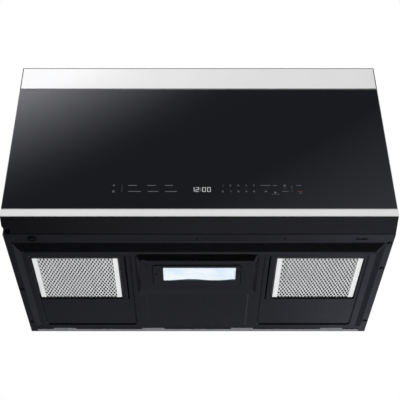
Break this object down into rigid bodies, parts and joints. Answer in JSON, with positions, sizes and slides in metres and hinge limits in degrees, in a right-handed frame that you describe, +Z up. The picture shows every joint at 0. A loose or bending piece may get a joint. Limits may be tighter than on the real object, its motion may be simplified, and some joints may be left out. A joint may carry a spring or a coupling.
{
  "type": "over-the-range microwave oven",
  "caption": "Over-the-range microwave oven with a full-width left-hinged glass door, bevelled door foot, grease filters and a cooktop lamp in its black underside.",
  "frame": {"origin": "on the wall plane, midway across, level with the rim of the base, where the wall bracket carries the oven", "axes": "+X right seen from the front, +Y back to the wall, +Z up"},
  "size_m": [0.759, 0.42, 0.4332],
  "materials": {
    "case_paint": "satin dark grey paint",
    "white_glass": "back-painted white glass",
    "black_glass": "back-painted black glass",
    "black_paint": "satin black enamel paint",
    "black_plastic": "fine matt grain",
    "zinc_sheet": "galvanised",
    "filter_aluminium": "mill finish",
    "oven_enamel": "speckled light grey enamel",
    "clear_glass": "clear tempered",
    "mica": "mica sheet",
    "white_plastic": "moulded",
    "lens_plastic": "frosted, lit",
    "steel": "bright",
    "motor_paint": "grey paint",
    "copper_lacquer": "lacquered winding and core",
    "board": "printed board",
    "charcoal": "carbon granules in mesh",
    "screen_metal": "perforated, black"
  },
  "bodies": {
    "cabinet": {"outer_wrapper": "case_paint", "rear_panel": "zinc_sheet", "base_plate": "black_paint", "underside_screws": "black_paint", "front_plate": "black_paint", "fascia_panel": "white_glass", "fascia_frame": "black_plastic", "charcoal_filter": "charcoal", "exhaust_cover": "zinc_sheet", "cord_grommet": "black_plastic", "component_shelf": "zinc_sheet", "lamp_cover": "black_plastic", "lamp_lens": "lens_plastic", "lamp_housing": "white_plastic", "lamp_board": "board", "oven_cavity": "oven_enamel", "waveguide_cover": "mica", "waveguide": "zinc_sheet", "magnetron": "steel", "hv_transformer": "copper_lacquer", "hv_capacitor": "filter_aluminium", "cooling_fan_frame": "black_plastic", "cooling_fan_motor": "motor_paint", "control_board": "board", "cavity_lamp": "white_plastic", "thermal_cutouts": "steel", "turntable_motor": "steel", "latch_catch": "white_plastic", "interlock_switches": "black_plastic", "hinge_lower": "black_paint", "hinge_upper": "black_paint", "blower_housing": "zinc_sheet", "blower_motor": "motor_paint"},
    "door": {"door_glass": "black_glass", "door_lower_trim": "white_glass", "door_foot": "black_plastic", "door_frame": "black_paint", "hinge_bushes": "black_plastic", "door_screen": "screen_metal", "door_inner_glass": "clear_glass", "choke_cover": "black_plastic", "touch_board": "board", "display_module": "black_plastic"},
    "latch": {"latch_bar": "white_plastic"},
    "plunger_upper": {"switch_plunger_upper": "white_plastic"},
    "plunger_lower": {"switch_plunger_lower": "white_plastic"},
    "plunger_monitor": {"switch_plunger_monitor": "white_plastic"},
    "filter_left": {"filter_frame_left": "filter_aluminium", "filter_mesh_left": "filter_aluminium"},
    "filter_right": {"filter_frame_right": "filter_aluminium", "filter_mesh_right": "filter_aluminium"},
    "turntable": {"turntable_coupler": "white_plastic", "turntable_tray": "clear_glass"},
    "ring": {"roller_ring": "white_plastic"},
    "roller_1": {"turntable_roller_1": "white_plastic"},
    "roller_2": {"turntable_roller_2": "white_plastic"},
    "roller_3": {"turntable_roller_3": "white_plastic"},
    "blower": {"blower_wheels": "white_plastic"},
    "cooling_fan": {"cooling_fan_blade": "white_plastic"}
  },
  "joints": [
    {"name": "door_hinge", "type": "hinge", "parent": "cabinet", "child": "door", "pos_m": [-0.3705, -0.391, 0.2], "axis": [0, 0, -1], "range_deg": [0, 95]},
    {"name": "latch_lift", "type": "slide", "parent": "door", "child": "latch", "axis": [0, 0, 1], "range_m": [0, 0.004], "stiffness_N_per_m": 300, "springref_m": -0.01},
    {"name": "plunger_upper_travel", "type": "slide", "parent": "cabinet", "child": "plunger_upper", "axis": [0, 1, 0], "range_m": [0, 0.002], "stiffness_N_per_m": 500, "springref_m": -0.002},
    {"name": "plunger_lower_travel", "type": "slide", "parent": "cabinet", "child": "plunger_lower", "axis": [0, 1, 0], "range_m": [0, 0.002], "stiffness_N_per_m": 500, "springref_m": -0.002},
    {"name": "plunger_monitor_travel", "type": "slide", "parent": "cabinet", "child": "plunger_monitor", "axis": [0, 1, 0], "range_m": [0, 0.002], "stiffness_N_per_m": 500, "springref_m": -0.002},
    {"name": "filter_left_slide", "type": "slide", "parent": "cabinet", "child": "filter_left", "axis": [0, 1, 0], "range_m": [0, 0.01]},
    {"name": "filter_right_slide", "type": "slide", "parent": "cabinet", "child": "filter_right", "axis": [0, 1, 0], "range_m": [0, 0.01]},
    {"name": "turntable_spin", "type": "hinge", "parent": "cabinet", "child": "turntable", "pos_m": [-0.0825, -0.1965, 0.061], "axis": [0, 0, 1], "continuous": true},
    {"name": "ring_roll", "type": "hinge", "parent": "cabinet", "child": "ring", "pos_m": [-0.0825, -0.1965, 0.061], "axis": [0, 0, 1], "continuous": true},
    {"name": "roller_1_spin", "type": "hinge", "parent": "ring", "child": "roller_1", "pos_m": [0.0265, -0.1965, 0.061], "axis": [1, 0, 0], "continuous": true},
    {"name": "roller_2_spin", "type": "hinge", "parent": "ring", "child": "roller_2", "pos_m": [-0.137, -0.1021, 0.061], "axis": [-0.5, 0.866, 0], "continuous": true},
    {"name": "roller_3_spin", "type": "hinge", "parent": "ring", "child": "roller_3", "pos_m": [-0.137, -0.2909, 0.061], "axis": [-0.5, -0.866, 0], "continuous": true},
    {"name": "blower_spin", "type": "hinge", "parent": "cabinet", "child": "blower", "pos_m": [0, -0.066, 0.357], "axis": [1, 0, 0], "continuous": true},
    {"name": "cooling_fan_spin", "type": "hinge", "parent": "cabinet", "child": "cooling_fan", "pos_m": [0.288, -0.048, 0.248], "axis": [0, 1, 0], "continuous": true}
  ],
  "couplings": [
    {"joint": "ring_roll", "follows": "turntable_spin", "ratio": 0.5},
    {"joint": "roller_1_spin", "follows": "turntable_spin", "ratio": -7.0779},
    {"joint": "roller_2_spin", "follows": "turntable_spin", "ratio": -7.0779},
    {"joint": "roller_3_spin", "follows": "turntable_spin", "ratio": -7.0779}
  ]
}
